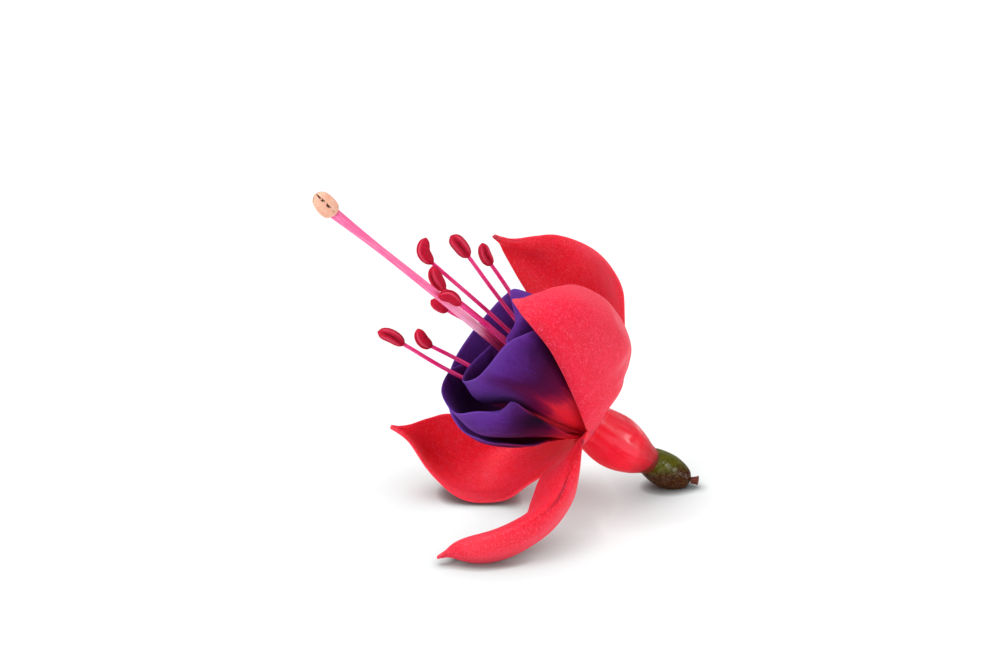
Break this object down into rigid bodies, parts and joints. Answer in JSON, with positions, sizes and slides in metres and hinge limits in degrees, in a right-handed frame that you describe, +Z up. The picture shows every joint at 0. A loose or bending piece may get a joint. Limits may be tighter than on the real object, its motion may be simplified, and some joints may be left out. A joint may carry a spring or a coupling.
{
  "type": "fuchsia flower",
  "caption": "Single picked fuchsia flower lying on its side, with flared red sepals, a violet corolla, long stamens and a longer style.",
  "frame": {"origin": "middle of the part's box seen from above, on the surface that the flower lies on", "axes": "+Z up from the resting surface, +X from the style's tip side towards the ovary and cut stalk, +Y away from the open mouth's near side"},
  "size_m": [0.0602, 0.0428, 0.0567],
  "materials": {
    "stalk": "dry, dull",
    "ovary": "glossy, smooth, green turning brown",
    "tube": "waxy, glossy",
    "sepal": "satin, finely speckled",
    "petal": "velvety, matt",
    "style": "satin, translucent",
    "stigma": "matt, slightly sticky",
    "filament": "satin",
    "anther": "matt, finely grained"
  },
  "bodies": {
    "root": {"pedicel_stub": "stalk", "ovary": "ovary", "floral_tube": "tube", "sepal_near_up": "sepal", "sepal_far_up": "sepal", "sepal_far_down": "sepal", "sepal_near_down": "sepal", "petal_near": "petal", "petal_down": "petal", "petal_far": "petal", "petal_up": "petal", "style": "style", "stigma": "stigma", "filament_1": "filament", "anther_1": "anther", "filament_2": "filament", "anther_2": "anther", "filament_3": "filament", "anther_3": "anther", "filament_4": "filament", "anther_4": "anther", "filament_5": "filament", "anther_5": "anther", "filament_6": "filament", "anther_6": "anther", "filament_7": "filament", "anther_7": "anther", "filament_8": "filament", "anther_8": "anther"}
  },
  "joints": []
}
